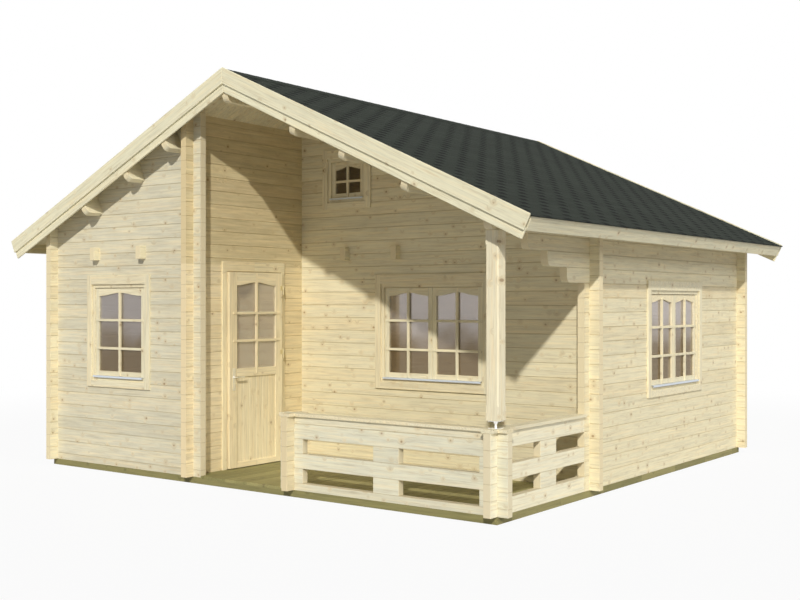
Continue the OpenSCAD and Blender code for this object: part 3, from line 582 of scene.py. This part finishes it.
RIDGE_CLEAR = 0.02                        # each course's foot is at least this far below the ridge pieces
NARROWEST_TAB = 0.01                      # a narrower rest of a tab at the verge is left out
RIDGE_LIFT = 0.0014                       # rise of the front end of a ridge piece
RIDGE_GAP = 0.001                         # from the back end of a ridge piece to the next one


class CABIN_OT_shingles(CabinStep, bpy.types.Operator):
    """Lays the shingles on both slopes course by course, with their notches, and the ridge pieces"""
    bl_idname = "cabin.shingles"
    bl_label = "Roof covering"

    def execute(self, context):
        sizes, colours = self.sizes(context), self.colours(context)
        top = self.granules("shingle_tabs", colours, sizes)
        under = self.granules("shingle_under", colours, sizes, notched=True)
        for side, name in ((-1, "left"), (1, "right")):
            finish_nodes([name + "_shingles"], under)
            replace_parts(keep(name + "_covering", self.courses(side, sizes), [top, under]),
                        name + "_shingles")
        keep("ridge_pieces", self.ridge(sizes), [top])
        return {"FINISHED"}

    def courses(self, side, sizes):
        """The felt, and on it a strip for each course: a band along its head, and a tooth for each tab."""
        mesh = bmesh.new()
        felt_top = BOARD_T + sizes.felt_t
        verts = add_box(mesh, (0, -COVER_Y, BOARD_T + FRAME_GAP), (COVER_FOOT, COVER_Y, felt_top))
        mitre(verts, COVER_FOOT)
        bmesh.ops.transform(mesh, matrix=slope_matrix(side), verts=verts)
        for face in mesh.faces:
            face.material_index = 1
        tilt = Matrix.Rotation(-math.atan2(sizes.tab_t/2, sizes.course), 4, "Y")
        band = sizes.course - sizes.notch_h
        teeth = math.ceil(2*COVER_Y/sizes.tab_pitch) + 3
        for number in range(math.ceil((COVER_FOOT - sizes.ridge_w - RIDGE_CLEAR)/sizes.course)):
            start = COVER_FOOT - (number + 1)*sizes.course
            place = slope_matrix(side) @ Matrix.Translation((start, 0, felt_top)) @ tilt
            add_box(mesh, (0, -COVER_Y, 0), (band, COVER_Y, sizes.tab_t), place)
            centre = LOWEST_NOTCH + number*sizes.course_shift
            first = centre - math.ceil((centre + COVER_Y)/sizes.tab_pitch + 1)*sizes.tab_pitch
            for tooth in range(teeth):
                left = max(first + tooth*sizes.tab_pitch + sizes.notch_w/2, -COVER_Y)
                right = min(first + (tooth + 1)*sizes.tab_pitch - sizes.notch_w/2, COVER_Y)
                if right - left > NARROWEST_TAB:
                    add_box(mesh, (band, left, 0), (sizes.course, right, sizes.tab_t), place)
        return mesh

    def ridge(self, sizes):
        """Pieces bent over the ridge, each raised in front as if it lapped the one before."""
        mesh = bmesh.new()
        low = BOARD_T + sizes.felt_t + sizes.tab_t*1.5
        high = low + sizes.tab_t
        count = math.floor(2*COVER_Y/sizes.ridge_step)
        step = 2*COVER_Y/count
        for i in range(count):
            y = -COVER_Y + i*step
            outline = []
            for side, u, v in ((-1, sizes.ridge_w, low), (0, 0, low), (1, sizes.ridge_w, low),
                               (1, sizes.ridge_w, high), (0, 0, high), (-1, sizes.ridge_w, high)):
                if side:
                    outline.append(slope_matrix(side) @ Vector((u, y, v)))
                else:
                    outline.append(Vector((0, y, APEX_Z + v/COS)))
            face = mesh.faces.new([mesh.verts.new(p) for p in outline])
            made = bmesh.ops.extrude_face_region(mesh, geom=[face])
            ends = [v for v in made["geom"] if isinstance(v, bmesh.types.BMVert)]
            bmesh.ops.translate(mesh, verts=ends, vec=(0, step - RIDGE_GAP, 0))
            bmesh.ops.translate(mesh, verts=list(face.verts), vec=(0, 0, RIDGE_LIFT))
        return mesh

    def granules(self, name, colours, sizes, notched=False):
        """Mineral granules. The felt under the tabs is darker where the notches lay it bare: partly the
        felt's own tone, partly painted shade in the notches.
        """
        f = Finish(name)
        x, y, z = f.place()
        place = f.point(x, y, z)
        course = f.floor((COVER_FOOT - down_slope(f, x, z - APEX_Z))/sizes.course + 0.0001)
        tab = (y - LOWEST_NOTCH - course*sizes.course_shift)/sizes.tab_pitch
        speck = f.noise(place, 420, 2.0, 0.7)
        patch = f.noise(place, 1.7, 3.0, 0.55)
        light = 0.80 + speck*0.36 + (patch - 0.5)*0.30 + (f.chance(f.floor(tab) + course*31) - 0.5)*0.20
        body = f.scaled(colours.shingle, light)
        if notched:
            off = f.absolute(tab - f.floor(tab + 0.5))*sizes.tab_pitch
            # darker in the notches: the felt's own tone and painted shade
            body = f.blend(off < sizes.notch_w/2 + 0.002, body, f.scaled(colours.notch, light))
        return f.surface(body, 0.95, speck, 0.0009, Specular_IOR_Level=0.12)


class CABIN_OT_roof_boards(CabinStep, bpy.types.Operator):
    """Lays the roof boards, with V joints on their undersides"""
    bl_idname = "cabin.roof_boards"
    bl_label = "Roof boards"

    def execute(self, context):
        sizes, colours = self.sizes(context), self.colours(context)
        low, high = BOARDS
        foot = (high.x - BOARD_T*SIN)/COS
        count = round((high.y - low.y)/sizes.board_w)
        step = (high.y - low.y)/count
        f = Finish("roof_boards")
        x, y, z = f.place()
        board = f.floor((y - low.y)/step) + (x > 0)*91
        body, roughness, height = wood(f, down_slope(f, x, z - APEX_Z), y, z, board, pine_tones(colours))
        made = f.surface(body, roughness, height, 0.0006)
        for side, name in ((-1, "left"), (1, "right")):
            mesh = bmesh.new()
            mitre(add_box(mesh, (0, low.y, FRAME_GAP), (foot, low.y + step, BOARD_T)), foot)
            under = [e for e in mesh.edges if all(v.co.z < BOARD_T/2 for v in e.verts)
                     and abs(e.verts[0].co.y - e.verts[1].co.y) < step/2]
            bmesh.ops.bevel(mesh, geom=under, offset=sizes.board_v, segments=1, profile=0.5, affect="EDGES",
                            material=-1)
            first = list(mesh.verts) + list(mesh.edges) + list(mesh.faces)
            for i in range(1, count):
                copy = bmesh.ops.duplicate(mesh, geom=first)
                moved = [v for v in copy["geom"] if isinstance(v, bmesh.types.BMVert)]
                bmesh.ops.translate(mesh, verts=moved, vec=(0, i*step, 0))
            bmesh.ops.transform(mesh, matrix=slope_matrix(side), verts=mesh.verts)
            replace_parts(keep(name + "_lining", mesh, [made]), name + "_roof_boards")
        return {"FINISHED"}


class CABIN_OT_trim(CabinStep, bpy.types.Operator):
    """Gives the barge boards and eave boards their wood"""
    bl_idname = "cabin.trim"
    bl_label = "Barge and eave boards"

    def execute(self, context):
        colours, soft = self.colours(context), self.sizes(context).verge_softness

        def barges(f, x, y, z):
            off = f.absolute(x)*SIN + z*COS
            return down_slope(f, x, z), off, y, (x > 0)*5 + (y > 0)*11 + (off > BARGE_SPLIT)*17

        def eaves(f, x, y, z):
            return y, z, x, (x > 0)*3

        planed(["left_upper_barges", "right_upper_barges", "left_lower_barges", "right_lower_barges"], soft,
               trim_finish("barge_boards", colours, barges, 0.10, pale=colours.pine_barge,
                                           centre=(0, 0, APEX_Z)))
        planed(["eave_fascias"], soft,
               trim_finish("eave_boards", colours, eaves, 0.10, pale=colours.pine_eave))
        return {"FINISHED"}


def window_space(f, x, y, z):
    """How far a point lies across from its window's middle, half that window's opening, and its number."""
    side, attic, front = x > HALF_W - WINDOW_REACH, z > ATTIC_Z, x < DOOR_X
    middle, half = (f.pick(front, f.pick(attic, porch_size, attic_size), front_size)
                    for porch_size, attic_size, front_size in zip(PORCH_WINDOW, ATTIC_WINDOW, FRONT_WINDOW))
    across = f.pick(side, x - middle, y - SIDE_WINDOW[0])
    return across, f.pick(side, half, SIDE_WINDOW[1]), side*7 + attic*13 + front*29


class CABIN_OT_windows(CabinStep, bpy.types.Operator):
    """Gives the windows their wood, glass and painted drips"""
    bl_idname = "cabin.windows"
    bl_label = "Windows"

    def execute(self, context):
        colours, soft = self.colours(context), self.sizes(context).softness

        def ring(edge):
            def split(f, x, y, z):
                across, half, number = window_space(f, x, y, z)
                upright = f.absolute(across) > (half - edge)
                board = number + (across > 0)*3*upright + f.floor(z*1.1)*(1 - upright)
                return f.pick(upright, across, z), f.pick(upright, z, across), y, board
            return split

        def sash(f, x, y, z):
            across, half, number = window_space(f, x, y, z)
            double = half > FRONT_WINDOW[1] + SLACK
            leaf = (half - JAMB_W)*(1 - double*0.5)
            inside = f.absolute(f.absolute(across) - double*leaf)
            upright = f.high(inside > (leaf - SASH_W), inside < HALF_BAR)
            board = number + f.floor(across*3 + 20)*upright + f.floor(z*4)*(1 - upright)
            return f.pick(upright, across, z), f.pick(upright, z, across), y, board

        for name, split in (("window_casings", ring(CASING_LAP)), ("window_frames", ring(JAMB_W)),
                            ("window_sashes", sash)):
            planed([name], soft, trim_finish(name, colours, split))
        finish_nodes(["window_glass"], glass_finish(colours))
        finish_nodes(["door_glass"], door_glass_finish(colours))
        finish_nodes(["window_drips"], drip_finish(colours))
        return {"FINISHED"}


def drip_finish(colours):
    """Painted sheet, a little uneven, tinted blue as a painted reflection of the sky."""
    f = Finish("drip_paint")
    place = f.point(*f.place())
    tarnish = f.noise(place, 9, 3.0)
    return f.surface(f.scaled(colours.drip, 0.94 + tarnish*0.12), 0.3 + tarnish*0.2,
                     f.noise(place, 160), 0.0002, Metallic=0.35)


def glass_finish(colours):
    """Double glazing: part clear, part a soft mirror of what stands round the cabin."""
    f = Finish("glass")
    x, y, z = f.place()
    haze = f.noise(f.point(x, y, z), 3.1, 3.0)
    # the metallic part mirrors the surroundings; the upper panes take the pale tone as a painted reflection
    # of the sky, the lower ones the brown of the dim room
    upper = f.step(z + (haze - 0.5)*0.5, 1.25, 1.70)
    attic, front = z > ATTIC_Z, x < DOOR_X
    # the front room's panes are darkened: painted shade of the dimmer room behind
    body = f.scaled(f.blend(upper, colours.glass, colours.glass_sky_reflection), f.pick(front, 1.0, 0.74))
    body = f.blend(attic, body, colours.glass_attic)
    closed = f.pick(attic, f.pick(front, f.pick(upper, 0.34, 0.42), 0.38), 0.30)
    return f.surface(body, 0.03 + haze*0.03, Alpha=closed, Metallic=0.55, IOR=1.5)


def door_glass_finish(colours):
    """The door's glass: an even, pale mirror with faint level bands. Its pale tone is partly a painted
    reflection; the metallic part mirrors what stands round it.
    """
    f = Finish("door_glazing")
    x, y, z = f.place()
    bands = f.noise(f.point(x, y*0.7, z*6), 1.6, 3.0)
    return f.surface(f.scaled(colours.glass_door, 0.9 + bands*0.2), 0.04, Metallic=0.55, IOR=1.5, Alpha=0.5)


def metal_finish(name, tone):
    """Bare metal, finely brushed."""
    f = Finish(name)
    x, y, z = f.place()
    brushed = f.noise(f.point(x*60, y*60, z*900), 1.0, 2.0)
    return f.surface(f.scaled(tone, 0.9 + brushed*0.2), 0.30 + brushed*0.16, brushed, 0.00015, Metallic=1.0)


class CABIN_OT_door(CabinStep, bpy.types.Operator):
    """Gives the door, its frame, casing, handles and hinges their finishes"""
    bl_idname = "cabin.door"
    bl_label = "Door"

    def execute(self, context):
        colours, soft = self.colours(context), self.sizes(context).softness
        middle = (LEAF[0].y + LEAF[1].y)/2
        inner = (LEAF[1].y - LEAF[0].y)/2 - STILE_W
        head = LEAF[1].z - 0.02           # over it the frame and casing run across

        def leaf(f, x, y, z):
            across = y - middle
            out = f.absolute(across)
            panel = (z > LEAF[0].z + PANEL_LOW)*(z < LEAF[0].z + PANEL_HIGH)*(out < inner)
            upright = f.high(f.high(out > inner, out < HALF_BAR), panel)
            board = f.floor(across/PANEL_BOARD + 20)*panel + (across > 0)*7 + f.floor(z*3)*(1 - upright)
            return f.pick(upright, y, z), f.pick(upright, z, y), x, board

        def frames(f, x, y, z):
            upright = z < head
            return f.pick(upright, y, z), f.pick(upright, z, y), x, (y > middle)*3 + upright*5

        planed(["door_leaf"], soft,
               trim_finish("door_wood", colours, leaf, pale=colours.pine_leaf), "door")
        planed(["door_frame", "door_casing"], soft,
               trim_finish("door_trim", colours, frames, pale=colours.pine_door))
        finish_nodes(["door_handles", "post_foot"], metal_finish("brushed_steel", colours.steel))
        finish_nodes(["frame_hinges", "leaf_hinges"], metal_finish("yellow_zinc", colours.zinc))
        return {"FINISHED"}


class CABIN_OT_porch(CabinStep, bpy.types.Operator):
    """Gives the railing caps and the porch post their wood"""
    bl_idname = "cabin.porch"
    bl_label = "Porch caps and post"

    def execute(self, context):
        colours, soft = self.colours(context), self.sizes(context).softness
        front, back = FRONT_Y - CAP_LAP, FRONT_Y + LOG_T + CAP_LAP + SLACK

        def caps(f, x, y, z):
            level = (y > front)*(y < back)
            return f.pick(level, y, x), f.pick(level, x, y), z, level*5 + (x > CAP_JOINT)*3

        def post(f, x, y, z):
            return z, x, y, 0

        planed(["railing_caps"], soft, trim_finish("rail_caps", colours, caps))
        planed(["porch_post"], soft,
               trim_finish("post_wood", colours, post, 0.25, 0.75, colours.pine_pale))
        return {"FINISHED"}


FLOOR_R = 60
FLOOR_DROP = 0.002                        # keeps the floor clear of the bearers
SHADOW_ENDS = (6.0, 13.0)                 # the floor's shadow fades between these distances
WHITE_NEAR = 0.93                         # share of plain white in the floor near the cabin
SKY_LIGHT = 0.175                         # light of the sky on the cabin


class CABIN_OT_stage(CabinStep, bpy.types.Operator):
    """Sets up the pale floor, the soft light and the camera"""
    bl_idname = "cabin.stage"
    bl_label = "Stage, light and camera"

    def execute(self, context):
        scene = context.scene
        scene.view_settings.view_transform = "Standard"
        self.floor()
        self.world(scene)
        self.lamp("key", (-0.62, 1.0, -0.685), strength=2.68, angle=1.5, tone=(1.0, 0.97, 0.91))
        self.lamp("back", (0.7, -1.0, -0.14), strength=1.0, angle=20.0, tone=(1.0, 0.98, 0.95))
        self.lamp("fill", (-1.0, 0.15, -0.45), strength=0.78, angle=20.0, tone=(1.0, 0.98, 0.93))
        self.camera(scene)
        return {"FINISHED"}

    def camera(self, scene):
        data = bpy.data.cameras.new("camera")
        data.lens, data.sensor_width, data.shift_y = 50.43, 36.0, 0.0027
        data.clip_end = 200
        camera = bpy.data.objects.new("camera", data)
        camera.location = (7.573, -10.367, 1.782)
        camera.rotation_euler = (math.radians(90), 0, math.radians(36.62))
        scene.collection.objects.link(camera)
        scene.camera = camera

    def lamp(self, name, travel, strength, angle, tone):
        """A distant lamp whose light goes in the direction of travel. A wide angle softens its shadows."""
        data = bpy.data.lights.new(name, "SUN")
        data.energy, data.angle, data.color = strength, math.radians(angle), tone
        lamp = bpy.data.objects.new(name, data)
        lamp.rotation_euler = Vector(travel).to_track_quat("-Z", "Y").to_euler()
        bpy.context.scene.collection.objects.link(lamp)

    def floor(self):
        """A pale disc that keeps a faint shadow near the cabin, and runs out into the white behind."""
        mesh = bmesh.new()
        bmesh.ops.create_circle(mesh, cap_ends=True, segments=96, radius=FLOOR_R)
        bmesh.ops.translate(mesh, verts=mesh.verts, vec=(0, 0, -FLOOR_DROP))
        data = bpy.data.meshes.new("floor")
        mesh.to_mesh(data)
        mesh.free()
        f = Finish("pale_floor")
        x, y, z = f.place()
        grit = f.noise(f.point(x, y, z), 30, 3.0)
        f.surface(f.scaled((0.55, 0.55, 0.56), 0.985 + grit*0.03), 0.9)
        away = f.step(f.math("SQRT", x*x + y*y), *SHADOW_ENDS)
        white = f.node("ShaderNodeEmission", {}, {"Color": (1, 1, 1, 1), "Strength": 1.0})
        mixed = f.node("ShaderNodeMixShader", {},
                       {0: f.shown()*f.pick(away, WHITE_NEAR, 1.0), 1: Val(f, f.shader.outputs[0]),
                        2: Val(f, white.outputs[0])})
        f.feed(f.out, {"Surface": Val(f, mixed.outputs[0])})
        data.materials.append(f.material)
        floor = bpy.data.objects.new("floor", data)
        bpy.context.scene.collection.objects.link(floor)

    def world(self, scene):
        """A dim, even sky that shows as white."""
        world = bpy.data.worlds.new("sky")
        scene.world = world
        world.use_nodes = True
        sky = Nodes(world.node_tree)
        glow = sky.node("ShaderNodeBackground", {}, {"Color": (1, 1, 1, 1),
                                                     "Strength": sky.pick(sky.shown(), SKY_LIGHT, 1.0)})
        sky.node("ShaderNodeOutputWorld", {}, {"Surface": Val(sky, glow.outputs[0])})


STEPS = (CABIN_OT_logs, CABIN_OT_base, CABIN_OT_shingles, CABIN_OT_roof_boards, CABIN_OT_trim,
         CABIN_OT_windows, CABIN_OT_door, CABIN_OT_porch, CABIN_OT_stage)


class CABIN_PT_steps(bpy.types.Panel):
    """The steps that dress the cabin, in order"""
    bl_idname = "CABIN_PT_steps"
    bl_label = "Holiday cabin"
    bl_space_type = "VIEW_3D"
    bl_region_type = "UI"
    bl_category = "Cabin"

    def draw(self, context):
        for step in STEPS:
            self.layout.operator(step.bl_idname)


CLASSES = (CabinSizes, CabinColours, *STEPS, CABIN_PT_steps)


def register():
    for item in CLASSES:
        bpy.utils.register_class(item)
    bpy.types.Scene.cabin_sizes = PointerProperty(type=CabinSizes)
    bpy.types.Scene.cabin_colours = PointerProperty(type=CabinColours)


def unregister():
    del bpy.types.Scene.cabin_colours
    del bpy.types.Scene.cabin_sizes
    for item in reversed(CLASSES):
        bpy.utils.unregister_class(item)


def main():
    register()
    for step in STEPS:
        group, name = step.bl_idname.split(".")
        getattr(getattr(bpy.ops, group), name)()


if __name__ == "__main__":
    main()
